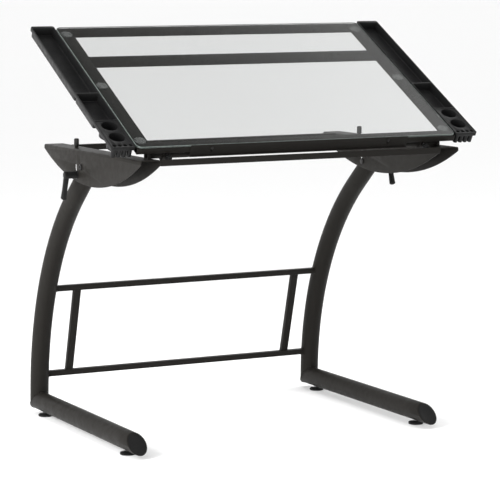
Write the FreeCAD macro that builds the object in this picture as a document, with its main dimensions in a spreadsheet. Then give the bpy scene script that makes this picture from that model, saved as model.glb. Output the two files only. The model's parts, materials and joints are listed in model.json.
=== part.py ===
import FreeCAD, Part
import os

import Sketcher

# Drafting table with a glass top: a steel base on four levelling feet, a lifting cradle of two
# half-moon brackets, and a tilting top frame that carries the glass, two side trays and a pencil
# ledge. Millimetres, +X right, +Y to the rear, +Z up, origin on the floor in the middle of the plan.

doc = FreeCAD.newDocument("drafting_table")
sheet = doc.addObject("Spreadsheet::Sheet", "dims")

DRIVING_SIZES = {
    # how far a cut runs past the solid, and how far two volumes of one piece overlap
    "overcut": 1,
    # top: its own frame is x, v up the slope, n square to the glass, from the glass's front edge
    "glass_wide": 895.35, "glass_deep": 596.9, "glass_thick": 5, "glass_corner": 14,
    "top_tilt": 27.7, "front_y": -385, "front_z": 784.4,
    "pad_thick": 1.5, "pad_radius": 15, "pad_inset": 34,
    "rail_high": 14.4, "rail_wall": 1.5, "rail_sheet": 2, "side_rail_wide": 39, "rail_half": 447,
    "front_rail_wide": 25, "rear_rail_wide": 48, "cross_rail_wide": 55, "cross_rail_v": 391.5,
    # hinge between the cradle and the top
    "hinge_y": -352, "hinge_z": 762, "hinge_v": 18.8, "hinge_n": -35.2,
    "hinge_tube_radius": 9.7, "hinge_tube_wall": 1.5, "hinge_tube_half": 412, "running_gap": 0.05,
    "lug_x": 407.5, "lug_thick": 8, "lug_radius": 13.5,
    "collar_x": 362, "collar_wide": 22, "collar_radius": 14.2, "collar_neck": 9,
    "collar_taper": 3,
    "knob_radius": 8.7, "knob_long": 9, "knob_v": -2, "knob_n": -30.5, "stud_radius": 3,
    "stud_gap": 1,
    # pencil ledge
    "ledge_wide": 610, "ledge_tall": 31.5, "ledge_thick": 2, "ledge_lip": 5.5, "ledge_gap": 0.3,
    "slot_x": 248, "slot_top": -7, "slot_tall": 14, "slot_wide": 4.6,
    "screw_radius": 2, "screw_head": 3.6, "screw_head_thick": 2, "screw_n": -9.4,
    # trays
    "tray_in": 450, "tray_out": 514, "tray_front": 2, "tray_rear": 603, "tray_deep": 24,
    "tray_corner": 6, "tray_wall": 2.2, "tray_split_rear": 260, "tray_split_front": 128,
    "cup_deep": 32, "cup_radius": 21, "cup_wall": 1.6, "cup_x": 482, "cup_front_v": 51,
    "cup_rear_v": 103,
    "pen_radius": 5.2, "pen_wall": 1.5, "pen_v": 13, "pen_pitch": 14, "pen_x": 461,
    "support_thick": 1.6, "support_reach": 12, "support_long": 40, "support_front_v": 190,
    "support_rear_v": 470,
    # legs and feet
    "leg_x": 419, "tube_radius": 25.4, "tube_wall": 2, "heel_y": 374.6, "foot_z": 36.6,
    "foot_reach": 695, "plug_thick": 4,
    "bend_start": -6.4, "bend_radius": 758.6, "bend_angle": 51.2, "leg_straight": 157,
    "leveler_front_y": -236, "leveler_rear_y": 329, "leveler_radius": 20, "leveler_thick": 8,
    "stem_radius": 4, "stem_top": 34, "nut_radius": 7, "nut_bottom": 10.8, "nut_top": 30,
    # brace
    "brace_embed": 1.5, "bar_high": 15, "bar_deep": 20, "upper_bar_y": 302.9, "upper_bar_z": 353,
    "lower_bar_y": 370.9, "lower_bar_z": 109, "upright_x": 333, "upright_wide": 20,
    "upright_deep": 15, "bar_wall": 1.5,
    # cradle
    "rim_z": 752, "bracket_wide": 55.4, "bracket_wall": 2, "bracket_front": -400,
    "bracket_rear": 236, "bracket_end": 10.5, "bracket_bottom": 663.5,
    "crossbar_high": 15, "crossbar_front_deep": 11, "crossbar_rear_deep": 19,
    "crossbar_rear_y": 162.5, "crossbar_front_y": -399.5, "crossbar_wall": 1.5,
    "pivot_y": -18, "pivot_z": 709, "pivot_radius": 5, "bushing_radius": 7, "bolt_head": 8,
    "bolt_head_thick": 3, "face_gap": 0.3,
    "clamp_radius": 4, "clamp_arm": 34, "clamp_low": -38.8, "clamp_high": 3.4,
    "clamp_slot": 4.3, "clamp_reach": 22,
    "peg_y": 77, "peg_radius": 5, "peg_top": 770, "peg_cap_radius": 7, "peg_cap_top": 775.8,
    "peg_cap_bottom": 757,
    # clamp levers
    "washer_thick": 1.5, "washer_radius": 11, "hub_radius": 9.5, "hub_long": 34, "handle_long": 69,
    "handle_half": 5, "handle_tip_half": 8, "handle_thick": 14, "left_handle_swing": 20,
    "right_handle_swing": -16,
}

for row, (alias, value) in enumerate(DRIVING_SIZES.items(), start=1):
    sheet.set(f"A{row}", alias)
    sheet.set(f"B{row}", str(value))
    sheet.setAlias(f"B{row}", alias)
doc.recompute()

SIDES = (("left", -1), ("right", 1))
sub_parts = []


def size(alias):
    """One driving size as a plain number."""
    return float(sheet.get(alias))


def number(expression):
    """The value of an expression over the sheet, in millimetres."""
    value = doc.evaluator.evalExpression(expression)
    return float(getattr(value, "Value", value))


doc.addObject("App::FeaturePython", "evaluator")


# ---- building blocks ------------------------------------------------------------------------

def new_body(label, x="0", y="0", z="0", rotation=None, several=False):
    """An empty sub-part placed at x, y, z, which are expressions."""
    body = doc.addObject("PartDesign::Body", label)
    body.Label = label
    body.AllowCompound = several
    base = FreeCAD.Vector(number(x), number(y), number(z))
    body.Placement = FreeCAD.Placement(base, rotation or FreeCAD.Rotation())
    for axis, expression in zip("xyz", (x, y, z)):
        body.setExpression(f"Placement.Base.{axis}", expression)
    sub_parts.append(body)
    return body


def top_body(label, several=False):
    """A sub-part that lies in the top's tilted frame."""
    tilt = FreeCAD.Rotation(FreeCAD.Vector(1, 0, 0), size("top_tilt"))
    return new_body(label, "0", "dims.front_y", "dims.front_z", tilt, several)


def new_sketch(body, plane, offset="0"):
    """A sketch on one of the body's origin planes, moved along the plane's normal."""
    sketch = body.newObject("Sketcher::SketchObject", body.Label + "_sketch")
    support = [item for item in body.Origin.OriginFeatures if item.Role == plane + "_Plane"][0]
    sketch.AttachmentSupport = (support, "")
    sketch.MapMode = "FlatFace"
    sketch.AttachmentOffset.Base.z = number(offset)
    sketch.setExpression("AttachmentOffset.Base.z", offset)
    return sketch


def end_at(sketch, edge, point):
    """Which end of a sketch edge, 1 or 2, lies at the point."""
    return min((1, 2), key=lambda end: sketch.getPoint(edge, end).distanceToPoint(point))


def bind(sketch, constraint, expression):
    """Add a constraint whose value follows an expression."""
    index = sketch.addConstraint(constraint)
    sketch.setExpression(f"Constraints[{index}]", expression)


def fix_point(sketch, edge, end, u, v):
    """Hold an edge's end, or a circle's centre, at the expressions u, v."""
    bind(sketch, Sketcher.Constraint("DistanceX", -1, 1, edge, end, number(u)), u)
    bind(sketch, Sketcher.Constraint("DistanceY", -1, 1, edge, end, number(v)), v)


def outline(sketch, corners, arcs=None, closed=True):
    """Lines and arcs through corners; arcs maps an edge's index to (mid-point, radius or None)."""
    arcs = arcs or {}
    points = [FreeCAD.Vector(number(u), number(v), 0) for u, v in corners]
    count = len(points) if closed else len(points) - 1
    edges = []
    for index in range(count):
        start, stop = points[index], points[(index + 1) % len(points)]
        if index in arcs:
            middle = FreeCAD.Vector(number(arcs[index][0][0]), number(arcs[index][0][1]), 0)
            edges.append(sketch.addGeometry(Part.Arc(start, middle, stop)))
        else:
            edges.append(sketch.addGeometry(Part.LineSegment(start, stop)))
    for index, (u, v) in enumerate(corners):
        edge = edges[index] if index < count else edges[-1]
        end = end_at(sketch, edge, points[index])
        if (closed or index > 0) and index < count:
            last = edges[index - 1]
            joint = Sketcher.Constraint("Coincident", last, end_at(sketch, last, points[index]), edge, end)
            sketch.addConstraint(joint)
        fix_point(sketch, edge, end, u, v)
    for index, (_, radius) in arcs.items():
        if radius:
            bind(sketch, Sketcher.Constraint("Radius", edges[index], number(radius)), radius)


def rectangle(sketch, left, right, low, high):
    outline(sketch, [(left, low), (right, low), (right, high), (left, high)])


def circle(sketch, u, v, radius):
    centre = FreeCAD.Vector(number(u), number(v), 0)
    edge = sketch.addGeometry(Part.Circle(centre, FreeCAD.Vector(0, 0, 1), number(radius)))
    fix_point(sketch, edge, 3, u, v)
    bind(sketch, Sketcher.Constraint("Radius", edge, number(radius)), radius)


def pad(body, sketch, length, symmetric=True, backwards=False):
    feature = body.newObject("PartDesign::Pad", body.Label + "_pad")
    feature.Profile = sketch
    feature.SideType = "Symmetric" if symmetric else "One side"
    feature.Reversed = backwards
    feature.setExpression("Length", length)
    return feature


def pocket(body, sketch, length=None, backwards=False, symmetric=False):
    """Cut to a depth, or through the whole body both ways when no length is given."""
    before = checked_volume(body)
    feature = body.newObject("PartDesign::Pocket", body.Label + "_pocket")
    feature.Profile = sketch
    feature.Reversed = backwards
    feature.SideType = "Symmetric" if symmetric or length is None else "One side"
    if length is None:
        feature.Type = "ThroughAll"
    else:
        feature.setExpression("Length", length)
    if checked_volume(body) >= before - 1e-6:
        raise RuntimeError(f"{body.Label}: a pocket removed nothing")
    return feature


def checked_volume(body):
    doc.recompute()
    return body.Shape.Volume


def fillet_along(body, direction, radius):
    """Round every straight edge that runs along the direction."""
    doc.recompute()
    solid = body.Tip
    names = []
    for index, edge in enumerate(solid.Shape.Edges, start=1):
        straight = isinstance(edge.Curve, Part.Line)
        if straight and abs(edge.Curve.Direction.dot(direction)) > 0.999:
            names.append(f"Edge{index}")
    feature = body.newObject("PartDesign::Fillet", body.Label + "_fillet")
    feature.Base = (solid, names)
    feature.setExpression("Radius", radius)


def prism(body, plane, corners, length, arcs=None, offset="0", symmetric=True, backwards=False):
    sketch = new_sketch(body, plane, offset)
    outline(sketch, corners, arcs)
    pad(body, sketch, length, symmetric, backwards)


def cylinder(body, plane, u, v, radius, length, offset="0", inner=None, symmetric=False,
             backwards=False):
    """A round bar, or a ring where inner gives a bore."""
    sketch = new_sketch(body, plane, offset)
    circle(sketch, u, v, radius)
    if inner:
        circle(sketch, u, v, inner)
    pad(body, sketch, length, symmetric, backwards)


def cut_round(body, plane, u, v, radius, length=None, offset="0", backwards=False):
    sketch = new_sketch(body, plane, offset)
    circle(sketch, u, v, radius)
    pocket(body, sketch, length, backwards)


def cut_shape(body, plane, corners, length=None, offset="0"):
    sketch = new_sketch(body, plane, offset)
    outline(sketch, corners)
    pocket(body, sketch, length)


def hollow_bar(body, plane, left, right, low, high, wall, length, offset="0", symmetric=True):
    """A rectangular tube."""
    sketch = new_sketch(body, plane, offset)
    rectangle(sketch, left, right, low, high)
    rectangle(sketch, f"{left} + {wall}", f"{right} - {wall}", f"{low} + {wall}", f"{high} - {wall}")
    pad(body, sketch, length, symmetric, backwards=not symmetric)


def side_x(sign, expression):
    """An x on one side of the table; sign is -1 on the left and 1 on the right."""
    return expression if sign > 0 else f"-({expression})"


# ---- base: feet, legs, brace and levellers ---------------------------------------------------

def foot(side, sign):
    """A round tube along the floor, slanted at the toe and mitred at the heel."""
    body = new_body(f"{side}_foot", side_x(sign, "dims.leg_x"), "dims.heel_y", "dims.foot_z")
    cylinder(body, "XZ", "0", "0", "dims.tube_radius", "dims.foot_reach + dims.tube_radius",
             offset="-dims.tube_radius", inner="dims.tube_radius - dims.tube_wall")
    clear = "(dims.tube_radius + dims.overcut)"
    toe = "-dims.foot_reach + dims.tube_radius"
    cut_shape(body, "YZ", [(f"{toe} - {clear}", f"-{clear}"), (f"{toe} + {clear}", clear),
                           (f"{toe} - {clear}", clear)])
    cut_shape(body, "YZ", [(clear, f"-{clear}"), (clear, clear), (f"-{clear}", clear)])
    for place in ("dims.leveler_front_y", "dims.leveler_rear_y"):
        cut_round(body, "XY", "0", f"{place} - dims.heel_y", "dims.nut_radius",
                  "dims.tube_radius + dims.overcut")


def foot_plug(side, sign):
    """The slanted plate that closes the toe, inside the tube."""
    body = new_body(f"{side}_foot_plug", side_x(sign, "dims.leg_x"),
                    "dims.heel_y - dims.foot_reach", "dims.foot_z")
    cylinder(body, "XZ", "0", "0", "dims.tube_radius - dims.tube_wall",
             "2 * dims.tube_radius + dims.plug_thick", offset="-2 * dims.tube_radius - dims.plug_thick")
    clear = "(dims.tube_radius + dims.overcut)"
    outer, inner = "dims.tube_radius", "dims.tube_radius + dims.plug_thick"
    cut_shape(body, "YZ", [(f"{outer} - {clear}", f"-{clear}"), (f"{outer} + {clear}", clear),
                           (f"{outer} - {clear}", clear)])
    cut_shape(body, "YZ", [(f"{inner} - {clear}", f"-{clear}"), (f"{inner} + {clear}", f"-{clear}"),
                           (f"{inner} + {clear}", clear)])


def leg(side, sign):
    """A round tube bent to one long arc, straight at the top, where the cradle pivots on it."""
    body = new_body(f"{side}_leg", side_x(sign, "dims.leg_x"), "dims.heel_y", "dims.foot_z")
    bend_y = "dims.bend_radius * (cos(dims.bend_angle * 1 deg) - 1)"
    bend_z = "dims.bend_start + dims.bend_radius * sin(dims.bend_angle * 1 deg)"
    half_y = "dims.bend_radius * (cos(dims.bend_angle * 0.5 deg) - 1)"
    half_z = "dims.bend_start + dims.bend_radius * sin(dims.bend_angle * 0.5 deg)"
    spine = new_sketch(body, "YZ")
    outline(spine, [("0", "-dims.tube_radius - dims.overcut"), ("0", "dims.bend_start"), (bend_y, bend_z),
                    (f"{bend_y} - dims.leg_straight * sin(dims.bend_angle * 1 deg)",
                     f"{bend_z} + dims.leg_straight * cos(dims.bend_angle * 1 deg)")],
            arcs={1: ((half_y, half_z), "dims.bend_radius")}, closed=False)
    section = new_sketch(body, "XY", "-dims.tube_radius - dims.overcut")
    circle(section, "0", "0", "dims.tube_radius")
    circle(section, "0", "0", "dims.tube_radius - dims.tube_wall")
    pipe = body.newObject("PartDesign::AdditivePipe", f"{side}_leg_pipe")
    pipe.Profile = section
    pipe.Spine = (spine, ["Edge1", "Edge2", "Edge3"])
    clear = "(dims.tube_radius + 2 * dims.overcut)"
    cut_shape(body, "YZ", [(f"-{clear}", clear), (f"-{clear}", f"-{clear}"), (clear, f"-{clear}")])
    cut_round(body, "YZ", "dims.pivot_y - dims.heel_y", "dims.pivot_z - dims.foot_z",
              "dims.bushing_radius + dims.running_gap")
    clamp_y, clamp_z = clamp_place()
    cut_round(body, "YZ", f"{clamp_y} - dims.heel_y", f"{clamp_z} - dims.foot_z",
              "dims.clamp_slot")


def clamp_place(angle="dims.clamp_low"):
    """Where the clamp bolt stands in the arc slot about the lift pivot."""
    return (f"dims.pivot_y + dims.clamp_arm * cos({angle} * 1 deg)",
            f"dims.pivot_z + dims.clamp_arm * sin({angle} * 1 deg)")


def brace_bar(label, y, z):
    body = new_body(label, "0", y, z)
    hollow_bar(body, "YZ", "-dims.bar_deep / 2", "dims.bar_deep / 2", "-dims.bar_high / 2",
               "dims.bar_high / 2", "dims.bar_wall",
               "2 * (dims.leg_x - dims.tube_radius + dims.brace_embed)")


def brace_upright(side, sign):
    body = new_body(f"{side}_brace_upright", side_x(sign, "dims.upright_x"))
    top, bottom = "dims.upper_bar_z - dims.bar_high / 2", "dims.lower_bar_z + dims.bar_high / 2"
    prism(body, "YZ", [("dims.lower_bar_y - dims.upright_deep / 2", bottom),
                       ("dims.lower_bar_y + dims.upright_deep / 2", bottom),
                       ("dims.upper_bar_y + dims.upright_deep / 2", top),
                       ("dims.upper_bar_y - dims.upright_deep / 2", top)], "dims.upright_wide")


def leveler(place, side, sign):
    """A round pad on a threaded stem, screwed up into the foot."""
    x, y = side_x(sign, "dims.leg_x"), f"dims.leveler_{place}_y"
    foot_pad = new_body(f"{place}_{side}_leveler_pad", x, y)
    cylinder(foot_pad, "XY", "0", "0", "dims.leveler_radius", "dims.leveler_thick")
    stem = new_body(f"{place}_{side}_leveler_stem", x, y)
    cylinder(stem, "XY", "0", "0", "dims.stem_radius", "dims.stem_top - dims.leveler_thick",
             offset="dims.leveler_thick")


def leveler_nuts():
    """Four threaded inserts, one at each end of each foot."""
    body = new_body("leveler_nuts", several=True)
    sketch = new_sketch(body, "XY", "dims.nut_bottom")
    for _, sign in SIDES:
        for place in ("dims.leveler_front_y", "dims.leveler_rear_y"):
            x = side_x(sign, "dims.leg_x")
            circle(sketch, x, place, "dims.nut_radius - dims.running_gap")
            circle(sketch, x, place, "dims.stem_radius + dims.running_gap")
    pad(body, sketch, "dims.nut_top - dims.nut_bottom", symmetric=False)


def pivot_bushings():
    """Two sleeves welded across the leg tops, which the pivot bolts turn in."""
    body = new_body("pivot_bushings", "0", "dims.pivot_y", "dims.pivot_z", several=True)
    for _, sign in SIDES:
        cylinder(body, "YZ", "0", "0", "dims.bushing_radius",
                 "dims.bracket_wide - 2 * dims.bracket_wall - 2 * dims.face_gap",
                 offset=side_x(sign, "dims.leg_x"), symmetric=True,
                 inner="dims.pivot_radius + dims.running_gap")


def pivot_bolt(side, sign):
    """The bolt the bracket lifts on, with a round head outside each flange."""
    body = new_body(f"{side}_pivot_bolt", side_x(sign, "dims.leg_x"), "dims.pivot_y", "dims.pivot_z")
    span = "dims.bracket_wide + 2 * dims.face_gap"
    cylinder(body, "YZ", "0", "0", "dims.pivot_radius", span, symmetric=True)
    for way in (-1, 1):
        cylinder(body, "YZ", "0", "0", "dims.bolt_head", "dims.bolt_head_thick",
                 offset=side_x(way, f"({span}) / 2"), backwards=way < 0)


def clamp_bolt(side, sign):
    """The bolt of the height clamp, which runs in the brackets' arc slots."""
    y, z = clamp_place()
    body = new_body(f"{side}_clamp_bolt", side_x(sign, "dims.leg_x"), y, z)
    inner = side_x(-sign, "dims.bracket_wide / 2 + dims.face_gap")
    cylinder(body, "YZ", "0", "0", "dims.clamp_radius",
             "dims.bracket_wide + dims.face_gap + dims.clamp_reach", offset=inner, backwards=sign < 0)
    cylinder(body, "YZ", "0", "0", "dims.bolt_head", "dims.bolt_head_thick", offset=inner,
             backwards=sign > 0)


def clamp_lever(side, sign):
    """A hub on the clamp bolt's end, with a handle that hangs from its outer end."""
    y, z = clamp_place()
    swing = FreeCAD.Rotation(FreeCAD.Vector(1, 0, 0), size(f"{side}_handle_swing"))
    face = "dims.leg_x + dims.bracket_wide / 2 + dims.face_gap"
    washer = new_body(f"{side}_lever_washer", side_x(sign, face), y, z)
    cylinder(washer, "YZ", "0", "0", "dims.washer_radius", "dims.washer_thick",
             inner="dims.clamp_radius + dims.running_gap", backwards=sign < 0)
    body = new_body(f"{side}_clamp_lever", side_x(sign, f"{face} + dims.washer_thick"), y, z, swing)
    cylinder(body, "YZ", "0", "0", "dims.hub_radius", "dims.hub_long", backwards=sign < 0)
    prism(body, "YZ", [("-dims.handle_half", "0"), ("-dims.handle_tip_half", "-dims.handle_long"),
                       ("dims.handle_tip_half", "-dims.handle_long"), ("dims.handle_half", "0")],
          "dims.handle_thick", offset=side_x(sign, "dims.hub_long"), symmetric=False,
          backwards=sign > 0)
    cut_round(body, "YZ", "0", "0", "dims.clamp_radius + dims.running_gap", "dims.clamp_reach",
              backwards=sign > 0)


# ---- cradle: brackets, crossbars, hinge tube and rests ---------------------------------------

def bracket(side, sign):
    """A half-moon channel, open below, that straddles the top of the leg."""
    body = new_body(f"{side}_bracket", side_x(sign, "dims.leg_x"))
    front, rear, rim = "dims.bracket_front", "dims.bracket_rear", "dims.rim_z"
    low = "dims.rim_z - dims.bracket_end"
    middle = ("(dims.bracket_front + dims.bracket_rear) / 2", "dims.bracket_bottom")
    chord = "((dims.bracket_rear - dims.bracket_front) / 2)"
    sag = "(dims.rim_z - dims.bracket_end - dims.bracket_bottom)"
    radius = f"({chord} * {chord} + {sag} * {sag}) / (2 * {sag})"
    prism(body, "YZ", [(front, low), (rear, low), (rear, rim), (front, rim)],
          "dims.bracket_wide", arcs={0: (middle, radius)})
    sketch = new_sketch(body, "YZ")
    rectangle(sketch, f"{front} - dims.overcut", f"{rear} + dims.overcut",
              "dims.bracket_bottom - dims.overcut", "dims.rim_z - dims.bracket_wall")
    pocket(body, sketch, "dims.bracket_wide - 2 * dims.bracket_wall", symmetric=True)
    cut_round(body, "YZ", "dims.pivot_y", "dims.pivot_z", "dims.pivot_radius + dims.running_gap")
    arc_slot(body)


def arc_slot(body):
    """The curved slot that guides the clamp bolt as the cradle lifts."""

    def at(radius, angle):
        turn = f"({angle}) * 1 deg"
        return (f"dims.pivot_y + ({radius}) * cos({turn})", f"dims.pivot_z + ({radius}) * sin({turn})")

    outer, inner = "dims.clamp_arm + dims.clamp_slot", "dims.clamp_arm - dims.clamp_slot"
    low, high = "dims.clamp_low", "dims.clamp_high"
    middle = f"({low} + {high}) / 2"
    cap_turn = "atan(dims.clamp_slot / dims.clamp_arm) / 1 deg"
    cap_arm = "dims.clamp_arm / cos(atan(dims.clamp_slot / dims.clamp_arm))"
    sketch = new_sketch(body, "YZ")
    outline(sketch, [at(outer, low), at(outer, high), at(inner, high), at(inner, low)],
            arcs={0: (at(outer, middle), outer), 1: (at(cap_arm, f"{high} + {cap_turn}"), None),
                  2: (at(inner, middle), inner), 3: (at(cap_arm, f"{low} - {cap_turn}"), None)})
    pocket(body, sketch)


def crossbar(label, front, deep):
    """A box tube between the two brackets' inner flanges, level with their rims."""
    body = new_body(label)
    hollow_bar(body, "YZ", front, f"{front} + {deep}", "dims.rim_z - dims.crossbar_high",
               "dims.rim_z", "dims.crossbar_wall", "2 * dims.leg_x - dims.bracket_wide")


def hinge_tube():
    body = new_body("hinge_tube", "0", "dims.hinge_y", "dims.hinge_z")
    cylinder(body, "YZ", "0", "0", "dims.hinge_tube_radius", "2 * dims.hinge_tube_half",
             inner="dims.hinge_tube_radius - dims.hinge_tube_wall", symmetric=True)


def hinge_lug(side, sign):
    """A plate on the bracket's rim that holds one end of the hinge tube."""
    body = new_body(f"{side}_hinge_lug", side_x(sign, "dims.lug_x"), "dims.hinge_y", "dims.hinge_z")
    base = "dims.rim_z - dims.hinge_z"
    prism(body, "YZ", [("-dims.lug_radius", base), ("dims.lug_radius", base),
                       ("dims.lug_radius", "0"), ("-dims.lug_radius", "0")], "dims.lug_thick",
          arcs={2: (("0", "dims.lug_radius"), None)})
    cut_round(body, "YZ", "0", "0", "dims.hinge_tube_radius + dims.running_gap")


def rest_peg(side, sign):
    """A post on the bracket with a rubber cap that the top lies on when it is flat."""
    x = side_x(sign, "dims.leg_x")
    post = new_body(f"{side}_rest_peg", x, "dims.peg_y", "dims.rim_z")
    cylinder(post, "XY", "0", "0", "dims.peg_radius", "dims.peg_top - dims.rim_z")
    cap = new_body(f"{side}_peg_cap", x, "dims.peg_y", "dims.peg_cap_bottom")
    cylinder(cap, "XY", "0", "0", "dims.peg_cap_radius", "dims.peg_cap_top - dims.peg_cap_bottom")
    cut_round(cap, "XY", "0", "0", "dims.peg_radius + dims.running_gap",
              "dims.peg_top - dims.peg_cap_bottom", backwards=True)


# ---- top: frame, glass, ledge, trays and tilt clamps ------------------------------------------

RAIL_TOP = "-dims.glass_thick - dims.pad_thick"
RAIL_LOW = "-dims.glass_thick - dims.pad_thick - dims.rail_high"


def angle_outline(near, far, thick):
    """An angle section: a flat top from near to far, turned down along the far edge."""
    return [(near, RAIL_TOP), (near, f"{RAIL_TOP} - dims.rail_sheet"),
            (f"{far} - {thick}", f"{RAIL_TOP} - dims.rail_sheet"), (f"{far} - {thick}", RAIL_LOW),
            (far, RAIL_LOW), (far, RAIL_TOP)]


def side_rail(side, sign):
    """A steel angle behind the front rail, turned down along its outer edge."""
    body = top_body(f"{side}_rail")
    inner = side_x(sign, "dims.rail_half - dims.side_rail_wide")
    outer = side_x(sign, "dims.rail_half")
    prism(body, "XZ", angle_outline(inner, outer, side_x(sign, "dims.rail_sheet")),
          "dims.glass_deep - dims.front_rail_wide", offset="-dims.front_rail_wide", symmetric=False,
          backwards=True)


def front_rail():
    """A box tube across the whole front, which the collars and the ledge hang on."""
    body = top_body("front_rail")
    hollow_bar(body, "YZ", "0", "dims.front_rail_wide", RAIL_LOW, RAIL_TOP, "dims.rail_wall",
               "2 * dims.rail_half")


def cross_member(label, front, wide):
    """A steel angle between the side rails, turned down along its rear edge."""
    body = top_body(label)
    prism(body, "YZ", angle_outline(front, f"{front} + {wide}", "dims.rail_sheet"),
          "2 * (dims.rail_half - dims.side_rail_wide)")


def glass_top():
    body = top_body("glass_top")
    half = "dims.glass_wide / 2"
    prism(body, "XY", [(f"-{half}", "0"), (half, "0"), (half, "dims.glass_deep"),
                       (f"-{half}", "dims.glass_deep")], "dims.glass_thick", symmetric=False,
          backwards=True)
    fillet_along(body, FreeCAD.Vector(0, 0, 1), "dims.glass_corner")


def glass_pads():
    """Six clear discs between the glass and the side rails."""
    body = top_body("glass_pads", several=True)
    sketch = new_sketch(body, "XY", "-dims.glass_thick")
    across = "dims.rail_half - dims.side_rail_wide / 2"
    for _, sign in SIDES:
        for up in ("dims.pad_inset", "dims.glass_deep / 2", "dims.glass_deep - dims.pad_inset"):
            circle(sketch, side_x(sign, across), up, "dims.pad_radius")
    pad(body, sketch, "dims.pad_thick", symmetric=False, backwards=True)


def tilt_collar(side, sign):
    """A clamp collar under the front rail, round the hinge tube."""
    body = top_body(f"{side}_tilt_collar")
    offset = side_x(sign, "dims.collar_x")
    prism(body, "YZ", [("dims.hinge_v - dims.collar_neck", "dims.hinge_n"),
                       ("dims.hinge_v + dims.collar_neck", "dims.hinge_n"),
                       ("dims.hinge_v + dims.collar_neck - dims.collar_taper", RAIL_LOW),
                       ("dims.hinge_v - dims.collar_neck", RAIL_LOW)],
          "dims.collar_wide", offset=offset)
    cylinder(body, "YZ", "dims.hinge_v", "dims.hinge_n", "dims.collar_radius", "dims.collar_wide",
             offset=offset, symmetric=True)
    cut_round(body, "YZ", "dims.hinge_v", "dims.hinge_n",
              "dims.hinge_tube_radius + dims.running_gap")
    cut_round(body, "XZ", offset, "dims.knob_n", "dims.stud_radius + dims.running_gap",
              "2 * dims.collar_radius", offset="-dims.hinge_v", backwards=True)


def tilt_knob(side, sign):
    """A round knob on a threaded stud that draws the collar tight on the tube."""
    x = side_x(sign, "dims.collar_x")
    knob = top_body(f"{side}_tilt_knob")
    cylinder(knob, "XZ", x, "dims.knob_n", "dims.knob_radius", "dims.knob_long",
             offset="-dims.knob_v")
    stud = top_body(f"{side}_knob_stud")
    cylinder(stud, "XZ", x, "dims.knob_n", "dims.stud_radius",
             "dims.hinge_v - dims.hinge_tube_radius - dims.stud_gap - dims.knob_v",
             offset="-dims.hinge_v + dims.hinge_tube_radius + dims.stud_gap")


def pencil_ledge():
    """A sliding strip across the front rail with a slot and a screw near each end."""
    body = top_body("pencil_ledge")
    back = "-dims.ledge_gap"
    face = "-dims.ledge_gap - dims.ledge_thick"
    lip = "-dims.ledge_gap - dims.ledge_lip"
    prism(body, "YZ", [(lip, "-dims.ledge_tall"), (back, "-dims.ledge_tall"), (back, "0"),
                       (face, "0"), (face, "-dims.ledge_tall + dims.ledge_thick"),
                       (lip, "-dims.ledge_tall + dims.ledge_thick")], "dims.ledge_wide")
    for _, sign in SIDES:
        centre = side_x(sign, "dims.slot_x")
        cut_shape(body, "XZ", [(f"{centre} - dims.slot_wide / 2", "dims.slot_top - dims.slot_tall"),
                               (f"{centre} + dims.slot_wide / 2", "dims.slot_top - dims.slot_tall"),
                               (f"{centre} + dims.slot_wide / 2", "dims.slot_top"),
                               (f"{centre} - dims.slot_wide / 2", "dims.slot_top")])


def ledge_screws():
    body = top_body("ledge_screws", several=True)
    for _, sign in SIDES:
        x = side_x(sign, "dims.slot_x")
        cylinder(body, "XZ", x, "dims.screw_n", "dims.screw_radius",
                 "dims.ledge_thick + 2 * dims.ledge_gap")
        cylinder(body, "XZ", x, "dims.screw_n", "dims.screw_head", "dims.screw_head_thick",
                 offset="dims.ledge_thick + 2 * dims.ledge_gap")


def span(sign, near, far):
    """The two x ends of a stretch beside the glass, in rising order."""
    return (near, far) if sign > 0 else (f"-({far})", f"-({near})")


def tray(side, sign):
    """A moulded tray: two compartments, two round cups and a row of pen holes."""
    body = top_body(f"{side}_tray")
    left, right = span(sign, "dims.tray_in", "dims.tray_out")
    prism(body, "XY", [(left, "dims.tray_front"), (right, "dims.tray_front"),
                       (right, "dims.tray_rear"), (left, "dims.tray_rear")], "dims.tray_deep",
          symmetric=False, backwards=True)
    fillet_along(body, FreeCAD.Vector(0, 0, 1), "dims.tray_corner")
    cup_x = side_x(sign, "dims.cup_x")
    pens = [side_x(sign, f"dims.pen_x + {index} * dims.pen_pitch") for index in range(4)]
    below = "-dims.tray_deep + dims.overcut"
    for up in ("dims.cup_front_v", "dims.cup_rear_v"):
        cylinder(body, "XY", cup_x, up, "dims.cup_radius + dims.cup_wall",
                 "dims.cup_deep - dims.tray_deep + dims.overcut", offset=below, backwards=True)
    for x in pens:
        cylinder(body, "XY", x, "dims.pen_v", "dims.pen_radius + dims.pen_wall",
                 "dims.cup_deep - dims.tray_deep + dims.overcut", offset=below, backwards=True)
    inner_left, inner_right = f"{left} + dims.tray_wall", f"{right} - dims.tray_wall"
    for low, high in (("dims.tray_split_rear + dims.tray_wall / 2", "dims.tray_rear - dims.tray_wall"),
                      ("dims.tray_split_front + dims.tray_wall / 2",
                       "dims.tray_split_rear - dims.tray_wall / 2")):
        cut_shape(body, "XY", [(inner_left, low), (inner_right, low), (inner_right, high),
                               (inner_left, high)], "dims.tray_deep - dims.tray_wall")
    for up in ("dims.cup_front_v", "dims.cup_rear_v"):
        cut_round(body, "XY", cup_x, up, "dims.cup_radius", "dims.cup_deep - dims.tray_wall")
    for x in pens:
        cut_round(body, "XY", x, "dims.pen_v", "dims.pen_radius", "dims.cup_deep - dims.tray_wall")


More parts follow.
